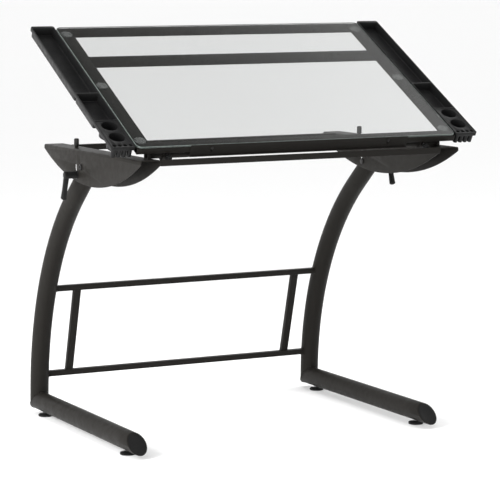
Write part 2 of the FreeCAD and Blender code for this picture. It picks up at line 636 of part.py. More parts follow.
def tray_supports(side, sign):
    """Two steel angles on the side rail that carry the tray from below."""
    body = top_body(f"{side}_tray_supports", several=True)
    wall_left, wall_right = span(sign, "dims.rail_half", "dims.rail_half + dims.support_thick")
    shelf_left, shelf_right = span(sign, "dims.rail_half", "dims.tray_in + dims.support_reach")
    low = "-dims.tray_deep - dims.face_gap - dims.support_thick"
    shelf_top = "-dims.tray_deep - dims.face_gap"
    for place in ("dims.support_front_v", "dims.support_rear_v"):
        sketch = new_sketch(body, "XZ", f"-{place}")
        if sign > 0:
            corners = [(wall_left, low), (shelf_right, low), (shelf_right, shelf_top),
                       (wall_right, shelf_top), (wall_right, "-dims.tray_deep / 2"),
                       (wall_left, "-dims.tray_deep / 2")]
        else:
            corners = [(shelf_left, low), (wall_right, low), (wall_right, "-dims.tray_deep / 2"),
                       (wall_left, "-dims.tray_deep / 2"), (wall_left, shelf_top),
                       (shelf_left, shelf_top)]
        outline(sketch, corners)
        pad(body, sketch, "dims.support_long", symmetric=False)


# ---- assembly ---------------------------------------------------------------------------------

for side, sign in SIDES:
    foot(side, sign)
    foot_plug(side, sign)
    leg(side, sign)
    brace_upright(side, sign)
    for place in ("front", "rear"):
        leveler(place, side, sign)
    pivot_bolt(side, sign)
    clamp_bolt(side, sign)
    clamp_lever(side, sign)
    bracket(side, sign)
    hinge_lug(side, sign)
    rest_peg(side, sign)
    side_rail(side, sign)
    tilt_collar(side, sign)
    tilt_knob(side, sign)
    tray(side, sign)
    tray_supports(side, sign)
brace_bar("upper_brace_bar", "dims.upper_bar_y", "dims.upper_bar_z")
brace_bar("lower_brace_bar", "dims.lower_bar_y", "dims.lower_bar_z")
leveler_nuts()
pivot_bushings()
crossbar("front_crossbar", "dims.crossbar_front_y", "dims.crossbar_front_deep")
crossbar("rear_crossbar", "dims.crossbar_rear_y", "dims.crossbar_rear_deep")
hinge_tube()
front_rail()
cross_member("middle_rail", "dims.cross_rail_v", "dims.cross_rail_wide")
cross_member("rear_rail", "dims.glass_deep - dims.rear_rail_wide", "dims.rear_rail_wide")
glass_top()
glass_pads()
pencil_ledge()
ledge_screws()

# ---- checks and export ------------------------------------------------------------------------

doc.recompute()
for item in doc.Objects:
    if "Invalid" in item.State or "Error" in item.State:
        raise RuntimeError(f"{item.Label} did not compute: {item.State}")

os.makedirs("parts", exist_ok=True)
for body in sub_parts:
    if body.Shape.isNull() or not body.Shape.isValid():
        raise RuntimeError(f"{body.Label} has no valid shape")
for body in sub_parts:
    body.Shape.exportStep(os.path.join("parts", body.Label + ".step"))
print(f"{len(sub_parts)} sub-parts written")
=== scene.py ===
import json
import math

import bmesh
import bpy
from mathutils import Matrix, Vector


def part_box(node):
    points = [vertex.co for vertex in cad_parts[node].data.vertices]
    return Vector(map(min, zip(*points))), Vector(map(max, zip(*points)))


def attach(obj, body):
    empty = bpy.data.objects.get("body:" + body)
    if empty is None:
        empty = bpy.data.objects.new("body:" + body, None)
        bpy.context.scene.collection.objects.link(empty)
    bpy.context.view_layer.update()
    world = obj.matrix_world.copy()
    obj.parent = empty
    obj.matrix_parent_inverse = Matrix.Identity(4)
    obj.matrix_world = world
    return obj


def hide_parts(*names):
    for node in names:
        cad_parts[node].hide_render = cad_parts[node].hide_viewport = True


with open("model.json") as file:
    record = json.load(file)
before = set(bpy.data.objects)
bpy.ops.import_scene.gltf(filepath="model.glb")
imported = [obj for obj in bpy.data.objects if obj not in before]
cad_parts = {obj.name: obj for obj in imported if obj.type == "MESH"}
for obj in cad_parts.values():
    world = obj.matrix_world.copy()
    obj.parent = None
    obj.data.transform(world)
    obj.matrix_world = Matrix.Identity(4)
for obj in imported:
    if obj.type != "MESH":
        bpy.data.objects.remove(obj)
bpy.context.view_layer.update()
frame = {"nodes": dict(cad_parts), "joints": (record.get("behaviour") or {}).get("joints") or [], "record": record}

# Metres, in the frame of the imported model: +X right, +Y to the rear, +Z up, floor at z = 0.
MM = 0.001
SIDES = (("left", -1), ("right", 1))
joints = {joint["name"]: joint for joint in frame["joints"]}
scene = bpy.context.scene


# ---- places read from the frame --------------------------------------------------------------

top_normal = Vector(joints["ledge_slide"]["axis"])
TILT = math.atan2(-top_normal.y, top_normal.z)
TOP = Matrix.Rotation(TILT, 4, "X")


def top_box(node):
    """A node's box in the tilted top's own directions: x, v up the slope, n square to the glass."""
    points = [TOP.inverted() @ vertex.co for vertex in frame["nodes"][node].data.vertices]
    low = Vector(min(point[axis] for point in points) for axis in range(3))
    high = Vector(max(point[axis] for point in points) for axis in range(3))
    return low, high


glass_low, glass_high = top_box("glass_top")
V0, N0 = glass_low.y, glass_high.z


# ---- mesh helpers ----------------------------------------------------------------------------

def loft(rings, closed_ends=True, loop=False):
    """A skin over rings of equal count, with a cap on each end, or joined end to end."""
    mesh = bmesh.new()
    rows = [[mesh.verts.new(point) for point in ring] for ring in rings]
    count = len(rows[0])
    pairs = list(zip(rows, rows[1:])) + ([(rows[-1], rows[0])] if loop else [])
    for lower, upper in pairs:
        for i in range(count):
            j = (i + 1) % count
            mesh.faces.new((lower[i], lower[j], upper[j], upper[i]))
    if closed_ends and not loop:
        mesh.faces.new(rows[0][::-1])
        mesh.faces.new(rows[-1])
    bmesh.ops.recalc_face_normals(mesh, faces=mesh.faces)
    return mesh


def joined(meshes):
    """Several meshes as one."""
    whole = bmesh.new()
    for part in meshes:
        data = bpy.data.meshes.new("part")
        part.to_mesh(data)
        part.free()
        whole.from_mesh(data)
        bpy.data.meshes.remove(data)
    return whole


def moved(mesh, matrix):
    mesh.transform(matrix)
    if matrix.determinant() < 0:
        bmesh.ops.reverse_faces(mesh, faces=mesh.faces)
    return mesh


def new_object(name, mesh):
    data = bpy.data.meshes.new(name)
    mesh.to_mesh(data)
    mesh.free()
    item = bpy.data.objects.new(name, data)
    scene.collection.objects.link(item)
    return item


def applied(item):
    """The object's modifiers made part of its mesh."""
    shape = bpy.data.meshes.new_from_object(item.evaluated_get(bpy.context.evaluated_depsgraph_get()))
    item.modifiers.clear()
    old, item.data = item.data, shape
    bpy.data.meshes.remove(old)
    return item


def boolean(item, others, operation):
    """The object joined with, or cut by, each of the other meshes."""
    for other in others:
        tool = new_object("tool", other)
        modifier = item.modifiers.new("boolean", "BOOLEAN")
        modifier.object = tool
        modifier.operation = operation
        modifier.solver = "EXACT"
        applied(item)
        bpy.data.objects.remove(tool)
    return item


def cleaned(item, angle=0.05):
    """Welds doubled points and melts faces that lie flat against each other."""
    mesh = bmesh.new()
    mesh.from_mesh(item.data)
    bmesh.ops.remove_doubles(mesh, verts=mesh.verts, dist=0.00002)
    bmesh.ops.dissolve_degenerate(mesh, edges=mesh.edges, dist=0.00001)
    bmesh.ops.dissolve_limit(mesh, angle_limit=math.radians(angle), verts=mesh.verts, edges=mesh.edges,
                             delimit={"MATERIAL"})
    mesh.to_mesh(item.data)
    mesh.free()
    return item


def softened(item, width, segments=2, angle=35):
    """Rounds every edge that turns by more than the angle."""
    modifier = item.modifiers.new("edges", "BEVEL")
    modifier.width = width
    modifier.segments = segments
    modifier.limit_method = "ANGLE"
    modifier.angle_limit = math.radians(angle)
    modifier.use_clamp_overlap = True
    modifier.miter_outer = "MITER_ARC"
    return applied(item)


def smoothed(item, angle=32):
    item.data.shade_smooth()
    item.data.set_sharp_from_angle(angle=math.radians(angle))
    return item


def placed(item, body, slot, material, *nodes):
    """Gives a finished piece its material and its body, and hides the CAD nodes that it stands for."""
    if material:
        item.data.materials.clear()
        item.data.materials.append(material)
    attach(item, body)
    if nodes:
        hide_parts(*nodes)


def weld_piece(name, body, mesh):
    """Weld beads as one smooth piece in the frame's paint."""
    placed(smoothed(new_object(name, mesh), 80), body, "charcoal_steel", steel)


def circle_ring(radius, count, place):
    """Points round a circle, each put in space by place(cosine, sine)."""
    turns = [2 * math.pi * i / count for i in range(count)]
    return [place(radius * math.cos(turn), radius * math.sin(turn)) for turn in turns]


def turned(profile, count=48, lobes=0, lobe_depth=0.0):
    """A lathe piece about Z from (radius, height), or (radius, height, share of the lobes' depth)."""
    rings = []
    for radius, height, *flute in profile:
        depth = flute[0] if flute else 0
        ring = []
        for i in range(count):
            turn = 2 * math.pi * i / count
            reach = radius - depth * lobe_depth * (0.5 - 0.5 * math.cos(lobes * turn))
            ring.append((reach * math.cos(turn), reach * math.sin(turn), height))
        rings.append(ring)
    return loft(rings)


def rounded_outline(left, right, low, high, radius, steps=6):
    """Points round a rectangle with round corners, counter-clockwise."""
    points = []
    corners = ((right - radius, high - radius, 0), (left + radius, high - radius, 90),
               (left + radius, low + radius, 180), (right - radius, low + radius, 270))
    for u, v, start in corners:
        for step in range(steps + 1):
            turn = math.radians(start + 90 * step / steps)
            points.append((u + radius * math.cos(turn), v + radius * math.sin(turn)))
    return points


def rounded_block(left, right, low, high, levels, radius, steps=6):
    """A tub or block from its outline at several heights: levels are (inset, height) pairs."""
    rings = []
    for inset, height in levels:
        ring = rounded_outline(left + inset, right - inset, low + inset, high - inset,
                               max(radius - inset, 0.0004), steps)
        rings.append([(u, v, height) for u, v in ring])
    return loft(rings)


def bead(points, radius, ripple=0.22, closed=True, seed=0.0):
    """A weld bead: a bumpy round bar along points at, or just under, the metal's surface."""
    rings = []
    last = len(points) if closed else len(points) - 1
    for i, point in enumerate(points):
        before = Vector(points[i - 1 if i or closed else 0])
        after = Vector(points[(i + 1) % len(points) if i < last else i])
        along = (after - before).normalized()
        side = along.orthogonal().normalized()
        up = along.cross(side)
        size = radius * (1 + ripple * math.sin(2.1 * i + seed) * math.cos(0.37 * i + seed))
        rings.append(circle_ring(size, 10, lambda c, s, p=Vector(point), a=side, b=up: p + a * c + b * s))
    return loft(rings, closed_ends=not closed, loop=closed)


# ---- materials -------------------------------------------------------------------------------

class Finish:
    """A material's node tree, with short ways to add what every finish here uses."""

    def __init__(self, name, colour, roughness, **settings):
        self.material = bpy.data.materials.new(name)
        self.material.use_nodes = True
        self.tree = self.material.node_tree
        self.shader = self.tree.nodes["Principled BSDF"]
        self.shader.inputs["Base Color"].default_value = (*colour, 1)
        self.shader.inputs["Roughness"].default_value = roughness
        for socket, value in settings.items():
            self.shader.inputs[socket.replace("_", " ")].default_value = value
        self.place = self.node("ShaderNodeTexCoord").outputs["Object"]

    def node(self, kind, **inputs):
        made = self.tree.nodes.new(kind)
        for name, value in inputs.items():
            self.join(value, made.inputs[name])
        return made

    def join(self, value, socket):
        if isinstance(value, bpy.types.NodeSocket):
            self.tree.links.new(value, socket)
        else:
            socket.default_value = value

    def noise(self, scale, detail=2.0, rough=0.5, stretch=None):
        place = self.place
        if stretch:
            mapping = self.node("ShaderNodeMapping", Vector=place)
            mapping.inputs["Scale"].default_value = stretch
            place = mapping.outputs["Vector"]
        made = self.node("ShaderNodeTexNoise", Vector=place, Scale=scale, Detail=detail, Roughness=rough)
        return made.outputs["Fac"]

    def cells(self, scale):
        return self.node("ShaderNodeTexVoronoi", Vector=self.place, Scale=scale).outputs["Distance"]

    def spread(self, value, low, high, start=0.35, end=0.65):
        """A noise's middle stretched to low..high."""
        made = self.node("ShaderNodeMapRange", Value=value)
        for name, number in (("From Min", start), ("From Max", end), ("To Min", low), ("To Max", high)):
            made.inputs[name].default_value = number
        return made.outputs["Result"]

    def mix(self, share, first, second):
        made = self.tree.nodes.new("ShaderNodeMix")
        made.data_type = "RGBA"
        self.join(share, made.inputs["Factor"])
        for value, socket in ((first, made.inputs[6]), (second, made.inputs[7])):
            self.join((*value, 1) if isinstance(value, tuple) else value, socket)
        return made.outputs[2]

    def times(self, first, second):
        made = self.tree.nodes.new("ShaderNodeMath")
        made.operation = "MULTIPLY"
        self.join(first, made.inputs[0])
        self.join(second, made.inputs[1])
        return made.outputs[0]

    def edge_share(self, radius):
        """0 on flat metal, rising towards 1 on sharp edges."""
        round_normal = self.node("ShaderNodeBevel", Radius=radius)
        round_normal.samples = 4
        plain = self.tree.nodes.new("ShaderNodeNewGeometry").outputs["Normal"]
        dot = self.tree.nodes.new("ShaderNodeVectorMath")
        dot.operation = "DOT_PRODUCT"
        self.join(round_normal.outputs["Normal"], dot.inputs[0])
        self.join(plain, dot.inputs[1])
        return self.spread(dot.outputs["Value"], 1.0, 0.0, 0.80, 0.99)

    def bump(self, height, strength, distance, under=None):
        made = self.node("ShaderNodeBump", Height=height, Strength=strength, Distance=distance)
        if under:
            self.join(under, made.inputs["Normal"])
        return made.outputs["Normal"]

    def drive(self, socket, value):
        self.join(value, self.shader.inputs[socket])


def powder_coat():
    """Satin charcoal powder coat: drifting tone, fine flecks, orange peel and rubbed edges."""
    finish = Finish("charcoal_powder_coat", (0.0123, 0.0113, 0.0100), 0.5, Specular_IOR_Level=0.08)
    tone = finish.mix(finish.noise(26, 3), (0.0114, 0.0104, 0.0092), (0.0132, 0.0121, 0.0107))
    fleck = finish.spread(finish.noise(2600, 1), 0, 0.30, 0.60, 0.74)
    tone = finish.mix(fleck, tone, (0.036, 0.034, 0.031))
    rubbed = finish.times(finish.edge_share(0.0007), finish.spread(finish.noise(85, 3), 0, 0.45, 0.42, 0.66))
    finish.drive("Base Color", finish.mix(rubbed, tone, (0.065, 0.062, 0.058)))
    finish.drive("Roughness", finish.spread(finish.noise(60, 4, 0.6), 0.42, 0.52))
    peel = finish.bump(finish.noise(620, 2), 0.30, 0.0004)
    finish.drive("Normal", finish.bump(finish.noise(2300, 1), 0.22, 0.00012, peel))
    return finish.material


def moulded_plastic(name, dark, light, roughness, grain, depth):
    """Moulded plastic with a spark-eroded grain and a little handling shine."""
    finish = Finish(name, dark, roughness, Specular_IOR_Level=0.14)
    finish.drive("Base Color", finish.mix(finish.spread(finish.noise(14, 3), 0, 1), dark, light))
    finish.drive("Roughness", finish.spread(finish.noise(55, 3), roughness - 0.06, roughness + 0.10))
    coarse = finish.bump(finish.cells(grain), 0.35, depth)
    finish.drive("Normal", finish.bump(finish.noise(grain * 1.7, 2), 0.3, depth, coarse))
    return finish.material


def zinc_plate():
    """Dull zinc with crystalline mottling and turning marks."""
    finish = Finish("dull_zinc", (0.36, 0.36, 0.37), 0.38, Metallic=1.0)
    finish.drive("Base Color", finish.mix(finish.spread(finish.cells(420), 0, 1, 0.1, 0.8),
                                          (0.30, 0.30, 0.31), (0.46, 0.46, 0.47)))
    finish.drive("Roughness", finish.spread(finish.noise(160, 3), 0.28, 0.50))
    finish.drive("Normal", finish.bump(finish.noise(900, 2, 0.5, (0.2, 1, 1)), 0.25, 0.00015))
    return finish.material


def black_oxide():
    """Blackened steel with an oily sheen."""
    finish = Finish("black_oxide", (0.014, 0.014, 0.015), 0.42, Metallic=0.3, Specular_IOR_Level=0.3)
    finish.drive("Base Color", finish.mix(finish.spread(finish.noise(240, 3), 0, 1),
                                          (0.010, 0.010, 0.011), (0.022, 0.021, 0.020)))
    finish.drive("Roughness", finish.spread(finish.noise(120, 3), 0.34, 0.52))
    finish.drive("Normal", finish.bump(finish.noise(1300, 2), 0.2, 0.0001))
    return finish.material


def rubber():
    finish = Finish("matt_rubber", (0.022, 0.022, 0.022), 0.82, Specular_IOR_Level=0.3)
    finish.drive("Base Color", finish.mix(finish.spread(finish.noise(90, 4), 0, 1),
                                          (0.016, 0.016, 0.016), (0.034, 0.033, 0.032)))
    finish.drive("Roughness", finish.spread(finish.noise(200, 2), 0.74, 0.92))
    finish.drive("Normal", finish.bump(finish.noise(1500, 3), 0.4, 0.0002))
    return finish.material


def let_lamps_through(finish, tint):
    """Lets light from lamps pass the clear body, as it does through a real pane."""
    clear = finish.node("ShaderNodeBsdfTransparent")
    clear.inputs["Color"].default_value = (*tint, 1)
    mixer = finish.tree.nodes.new("ShaderNodeMixShader")
    path = finish.tree.nodes.new("ShaderNodeLightPath")
    finish.join(path.outputs["Is Shadow Ray"], mixer.inputs[0])
    finish.join(finish.shader.outputs[0], mixer.inputs[1])
    finish.join(clear.outputs[0], mixer.inputs[2])
    finish.join(mixer.outputs[0], finish.tree.nodes["Material Output"].inputs["Surface"])


def pane_glass():
    """Clear tempered glass with the faint green of its iron and slow waviness."""
    finish = Finish("table_glass", (0.87, 0.88, 0.875), 0.0, Transmission_Weight=1.0, IOR=1.5)
    finish.drive("Base Color", finish.mix(finish.noise(3, 2), (0.865, 0.877, 0.872), (0.878, 0.888, 0.883)))
    finish.drive("Normal", finish.bump(finish.noise(2.2, 2), 0.05, 0.0006))
    let_lamps_through(finish, (0.93, 0.95, 0.94))
    return finish.material


def ground_edge(name, dark, light):
    """The pane's rim: a satin ground face, barely clear, in a tone from dark to light."""
    finish = Finish(name, dark, 0.28, Transmission_Weight=0.15, IOR=1.5)
    finish.drive("Base Color", finish.mix(finish.spread(finish.noise(120, 3), 0, 1), dark, light))
    finish.drive("Roughness", finish.spread(finish.noise(700, 2), 0.20, 0.42))
    return finish.material


def clear_vinyl():
    """Soft clear bumper discs, hazed and a little bubbled."""
    finish = Finish("clear_vinyl", (0.86, 0.88, 0.87), 0.22, Transmission_Weight=0.92, IOR=1.45)
    finish.drive("Base Color", finish.mix(finish.spread(finish.cells(900), 0, 1, 0.0, 0.5),
                                          (0.88, 0.90, 0.89), (0.80, 0.82, 0.81)))
    finish.drive("Roughness", finish.spread(finish.noise(300, 3), 0.14, 0.26))
    finish.drive("Normal", finish.bump(finish.noise(500, 2), 0.15, 0.0002))
    let_lamps_through(finish, (0.82, 0.86, 0.85))
    return finish.material


steel = powder_coat()
hard_plastic = moulded_plastic("black_grained_plastic", (0.0055, 0.0055, 0.0056), (0.0085, 0.0084, 0.0084),
                               0.42, 1900, 0.00010)
tray_plastic = moulded_plastic("tray_satin_plastic", (0.0065, 0.0065, 0.0067), (0.0100, 0.0099, 0.0100),
                               0.36, 1500, 0.00008)
zinc = zinc_plate()
oxide = black_oxide()
rubber_skin = rubber()
glass = pane_glass()
glass_rim = ground_edge("glass_ground_edge", (0.040, 0.050, 0.046), (0.065, 0.080, 0.072))
# painted highlight: the pane's up-facing chamfer gets this lighter copy of the ground edge, while the sides and
# the lower chamfer keep the darker rim tone
glass_arris_painted_highlight = ground_edge("glass_arris_painted_highlight", (0.13, 0.16, 0.15), (0.20, 0.24, 0.22))
vinyl = clear_vinyl()
SLOT_FINISH = {"charcoal_steel": steel, "zinc_steel": zinc, "black_bolts": oxide,
               "black_plastic": hard_plastic, "tray_plastic": tray_plastic, "black_rubber": rubber_skin,
               "table_glass": glass, "clear_pad": vinyl}


# ---- base: legs, feet, brace -------------------------------------------------------------------

WELD_STEP = 1.6 * MM
LEG_BEND = math.radians(51.2)
BEND_START = -6.4 * MM
TUBE_SIDES = 56
leg_low, leg_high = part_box("left_leg")
foot_low, foot_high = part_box("left_foot")
TUBE = (leg_high.x - leg_low.x) / 2
LEG_X = -(leg_high.x + leg_low.x) / 2
FOOT_Z = (foot_high.z + foot_low.z) / 2
HEEL_Y = foot_high.y - TUBE
TOE_Y = foot_low.y
lift_pivot = Vector(joints["lift"]["pos_m"])


def leg_path(bend_radius, straight, steps=40):
    """Points and directions up the leg's arc and straight top, from the heel, in (y, z)."""
    path = []
    for i in range(steps + 1):
        turn = LEG_BEND * i / steps
        y = HEEL_Y + bend_radius * (math.cos(turn) - 1)
        z = FOOT_Z + BEND_START + bend_radius * math.sin(turn)
        path.append((y, z, turn))
    y, z, turn = path[-1]
    path.append((y - straight * math.sin(turn), z + straight * math.cos(turn), turn))
    return path


def leg(side, sign):
    """The bent tube, mitred on the foot and rounded over at its top edge."""
    bend_radius, straight, wall = 758.6 * MM, 157 * MM, 2 * MM
    x0 = sign * LEG_X

    def ring(y, z, turn, radius):
        return circle_ring(radius, TUBE_SIDES, lambda c, s: Vector(
            (x0 + c, y + s * math.cos(turn), z + s * math.sin(turn))))

    path = leg_path(bend_radius, straight)
    mitre = [Vector((point.x, point.y, FOOT_Z - (point.y - HEEL_Y)))
             for point in ring(HEEL_Y, FOOT_Z, 0, TUBE)]
    above = [index for index, (_, z, _) in enumerate(path) if z > FOOT_Z + TUBE + 2 * MM]
    rings = [mitre] + [ring(*path[index], TUBE) for index in above]
    y, z, turn = path[-1]
    along = Vector((0, -math.sin(turn), math.cos(turn)))
    round_over = 0.7 * MM
    rings[-1] = [point - along * round_over for point in rings[-1]]
    for radius, back in ((TUBE - 0.3 * round_over, 0.3 * round_over), (TUBE - round_over, 0.0),
                         (TUBE - wall, 0.0), (TUBE - wall, 30 * MM)):
        rings.append([point - along * back for point in ring(y, z, turn, radius)])
    item = smoothed(new_object(f"{side}_leg_tube", loft(rings)))
    placed(item, "base", "charcoal_steel", steel, f"{side}_leg")


def foot(side, sign):
    """The floor tube, slanted at the toe, with its plug set just inside and its weld at the heel."""
    wall, plate_back = 2 * MM, 1.0 * MM
    x0 = sign * LEG_X

    def ring(radius, y_at):
        return circle_ring(radius, TUBE_SIDES, lambda c, s: Vector((x0 + c, y_at(s), FOOT_Z + s)))

    def toe(set_back):
        return lambda s: TOE_Y + TUBE + s + set_back

    heel = ring(TUBE, lambda s: HEEL_Y - s)
    rings = [heel] + [ring(TUBE, lambda s, t=t: (HEEL_Y - s) * (1 - t) + (TOE_Y + TUBE + s) * t)
                      for t in (0.1, 0.5, 0.9)]
    rings += [ring(TUBE, toe(0.9 * MM)), ring(TUBE - 0.25 * MM, toe(0.3 * MM)), ring(TUBE - 0.8 * MM, toe(0)),
              ring(TUBE - wall, toe(0)), ring(TUBE - wall, toe(plate_back)),
              ring(TUBE - wall - 4 * MM, toe(plate_back))]
    item = smoothed(new_object(f"{side}_foot_tube", loft(rings)))
    placed(item, "base", "charcoal_steel", steel, f"{side}_foot")
    plate = [ring(TUBE - wall - 0.1 * MM, toe(plate_back + 3 * MM)),
             ring(TUBE - wall - 0.1 * MM, toe(plate_back)),
             ring(TUBE - wall - 1.2 * MM, toe(plate_back - 0.9 * MM)),
             ring(TUBE - wall - 7 * MM, toe(plate_back - 0.9 * MM)),
             ring(TUBE - wall - 8 * MM, toe(plate_back - 0.4 * MM))]
    plug = smoothed(new_object(f"{side}_toe_plug", loft(plate)))
    placed(plug, "base", "black_plastic", hard_plastic, f"{side}_foot_plug")
    seam = [Vector((point.x, min(point.y, HEEL_Y + TUBE - 1.9 * MM), point.z))
            for point in ring(TUBE - 0.3 * MM, lambda s: HEEL_Y - s)]
    weld_piece(f"{side}_heel_weld", "base", bead(seam, 1.5 * MM, seed=sign))


def softened_copy(node, width, body, slot, segments=2):
    """The CAD piece with its edges rounded, as folded or machined metal has them."""
    source = frame["nodes"][node]
    item = bpy.data.objects.new(node + "_soft", source.data.copy())
    scene.collection.objects.link(item)
    cleaned(item, 0.5)
    softened(item, width, segments)
    smoothed(item)
    placed(item, body, slot, SLOT_FINISH[slot], node)


def corner_loop(u_low, u_high, w_low, w_high, place, radius):
    """Points for a weld round a rectangular tube's end, a step apart."""
    outline = rounded_outline(u_low, u_high, w_low, w_high, radius, 5)
    points = []
    for (u1, w1), (u2, w2) in zip(outline, outline[1:] + outline[:1]):
        count = max(1, int(math.hypot(u2 - u1, w2 - w1) / WELD_STEP))
        points += [place(u1 + (u2 - u1) * i / count, w1 + (w2 - w1) * i / count) for i in range(count)]
    return points


def brace():
    """The ladder between the legs, welded at every joint."""
    for node in ("upper_brace_bar", "lower_brace_bar", "left_brace_upright", "right_brace_upright"):
        softened_copy(node, 1.6 * MM, "base", "charcoal_steel", 3)
    welds = []
    for node in ("upper_brace_bar", "lower_brace_bar"):
        low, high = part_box(node)
        for _, sign in SIDES:
            def on_leg(y, z, sign=sign, middle=(low.y + high.y) / 2):
                """On the leg's round side: the bar's corners reach further round the tube."""
                return Vector((sign * (LEG_X - math.sqrt(TUBE ** 2 - (y - middle) ** 2)), y, z))
            seam = corner_loop(low.y, high.y, low.z, high.z, on_leg, 1.6 * MM)
            welds.append(bead(seam, 1.1 * MM, seed=low.z))
    for side, _ in SIDES:
        low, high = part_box(f"{side}_brace_upright")
        deep = 15 * MM
        for z, y_low in ((high.z, low.y), (low.z, high.y - deep)):
            place = lambda x, y, z=z: Vector((x, y, z))
            seam = corner_loop(low.x, high.x, y_low, y_low + deep, place, 1.6 * MM)
            welds.append(bead(seam, 0.9 * MM, seed=z))
    weld_piece("brace_welds", "base", joined(welds))


def leveler(place, side):
    """A grooved, chamfered pad under a threaded stem."""
    low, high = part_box(f"{place}_{side}_leveler_pad")
    x, y, radius, thick = (low.x + high.x) / 2, (low.y + high.y) / 2, (high.x - low.x) / 2, high.z - low.z
    body = f"{place}_{side}_leveler"
    here = Matrix.Translation((x, y, 0))
    profile = [(radius - 3 * MM, 0.0), (radius - 1.6 * MM, 0.0), (radius - 0.7 * MM, 0.5 * MM),
               (radius - 0.2 * MM, 1.4 * MM), (radius, 2.0 * MM, 1), (radius, thick - 3.0 * MM, 1),
               (radius - 0.4 * MM, thick - 2.3 * MM), (radius - 1.5 * MM, thick - 1.6 * MM),
               (radius - 6 * MM, thick - 1.0 * MM), (radius - 11 * MM, thick - 0.8 * MM),
               (radius - 12 * MM, thick), (4.2 * MM, thick)]
    pad = smoothed(new_object(f"{body}_foot", moved(turned(profile, 120, 30, 0.8 * MM), here)), 40)
    placed(pad, body, "black_plastic", hard_plastic, f"{place}_{side}_leveler_pad")
    low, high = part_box(f"{place}_{side}_leveler_stem")
    pitch, crest = 1.25 * MM, (high.x - low.x) / 2
    rings = [(crest - 0.9 * MM, low.z)]
    for i in range(int((high.z - low.z - 2 * MM) / pitch)):
        z = low.z + 0.6 * MM + i * pitch
        rings += [(crest - 0.65 * MM, z), (crest, z + 0.45 * pitch), (crest, z + 0.6 * pitch)]
    rings += [(crest - 0.8 * MM, high.z - 0.4 * MM), (crest - 1.4 * MM, high.z)]
    stem = smoothed(new_object(f"{body}_thread", moved(turned(rings, 32), here)), 25)
    placed(stem, body, "zinc_steel", zinc, f"{place}_{side}_leveler_stem")


# ---- cradle: brackets, crossbars, hinge, pegs ----------------------------------------------------

def bracket(side):
    """The half-moon channel, folded from sheet, with its arc slot and pivot hole."""
    low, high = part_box(f"{side}_bracket")
    wall, bend, end_high = 2 * MM, 4.2 * MM, 10.5 * MM
    half = (high.x - low.x) / 2
    x0, rim = (low.x + high.x) / 2, high.z
    chord, sag = (high.y - low.y) / 2, rim - end_high - low.z
    radius = (chord ** 2 + sag ** 2) / (2 * sag)
    middle = (low.y + high.y) / 2
    stations = 72
    rings = []
    for i in range(stations + 1):
        y = middle - chord * math.cos(math.pi * i / stations)
        bottom = low.z + radius - math.sqrt(radius ** 2 - (y - middle) ** 2)
        outer = [(half, bottom)]
        inner = [(half - wall, bottom)]
        for step in range(6):
            turn = math.radians(90 * step / 5)
            outer.append((half - bend + bend * math.cos(turn), rim - bend + bend * math.sin(turn)))
            reach = bend - wall
            inner.append((half - bend + reach * math.cos(turn), rim - bend + reach * math.sin(turn)))
        section = outer + [(-x, z) for x, z in reversed(outer)]
        section += [(-x, z) for x, z in inner] + list(reversed(inner))
        rings.append([(x0 + x, y, z) for x, z in section])
    item = new_object(f"{side}_bracket_shell", loft(rings))
    arm, width, hole_radius = 34 * MM, 8.6 * MM, 5.3 * MM
    slot_start, slot_span, steps = -38.8, 42.2, 16
    turns = [math.radians(slot_start + slot_span * i / steps) for i in range(steps + 1)]

    def slot_edge(reach):
        return [(lift_pivot.y + reach * math.cos(turn), lift_pivot.z + reach * math.sin(turn))
                for turn in turns]

    ends = []
    for turn, way in ((turns[-1], 1), (turns[0], -1)):
        cap = [math.radians(180 * i / 12) for i in range(1, 12)]
        middle_y = lift_pivot.y + arm * math.cos(turn)
        middle_z = lift_pivot.z + arm * math.sin(turn)
        ends.append([(middle_y + width / 2 * math.cos(turn + way * angle),
                      middle_z + width / 2 * math.sin(turn + way * angle)) for angle in cap])
    outline = slot_edge(arm + width / 2) + ends[0] + slot_edge(arm - width / 2)[::-1] + ends[1][::-1]
    slot = loft([[(x0 + way * (half + MM), y, z) for y, z in outline] for way in (-1, 1)])
    hole = loft([circle_ring(hole_radius, 32, lambda c, s, way=way: (
        x0 + way * (half + MM), lift_pivot.y + c, lift_pivot.z + s)) for way in (-1, 1)])
    boolean(item, [slot, hole], "DIFFERENCE")
    softened(cleaned(item), 0.35 * MM, 2, 50)
    smoothed(item, 30)
    placed(item, "cradle", "charcoal_steel", steel, f"{side}_bracket")


def bolt_head(name, centre, radius, thick, way):
    """A lift bolt's low round head, facing along X, with a hexagonal socket."""
    socket = 3.4 * MM
    profile = [(radius, 0.0), (radius, thick * 0.45), (radius - 0.3 * MM, thick * 0.7),
               (radius - 1.1 * MM, thick * 0.92), (radius - 2.4 * MM, thick)]
    item = new_object(name, turned(profile))
    corners = [math.radians(60 * i) for i in range(6)]
    hexagon = loft([[(socket * math.cos(turn), socket * math.sin(turn), z) for turn in corners]
                    for z in (thick - 1.6 * MM, thick + MM)])
    boolean(item, [hexagon], "DIFFERENCE")
    cleaned(item)
    turn = Matrix.Rotation(math.radians(90 * way), 4, "Y")
    item.data.transform(Matrix.Translation(centre) @ turn)
    placed(smoothed(item, 35), "base", "black_bolts", oxide)


def pivot_bolts():
    """Each lift bolt: a plain shank with a round socket head at each end, for the CAD bolt."""
    for side, sign in SIDES:
        low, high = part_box(f"{side}_pivot_bolt")
        radius, thick = (high.z - low.z) / 2, 3 * MM
        centre_z = (high.z + low.z) / 2
        shank = loft([circle_ring(5 * MM, 32, lambda c, s, x=x: (x, lift_pivot.y + c, centre_z + s))
                      for x in (low.x + thick * 0.5, high.x - thick * 0.5)])
        item = smoothed(new_object(f"{side}_pivot_shank", shank))
        placed(item, "base", "black_bolts", oxide, f"{side}_pivot_bolt")
        for way, x in ((-1, low.x + thick), (1, high.x - thick)):
            bolt_head(f"{side}_pivot_head_{'in' if way == -sign else 'out'}", (x, lift_pivot.y, centre_z),
                      radius, thick, way)


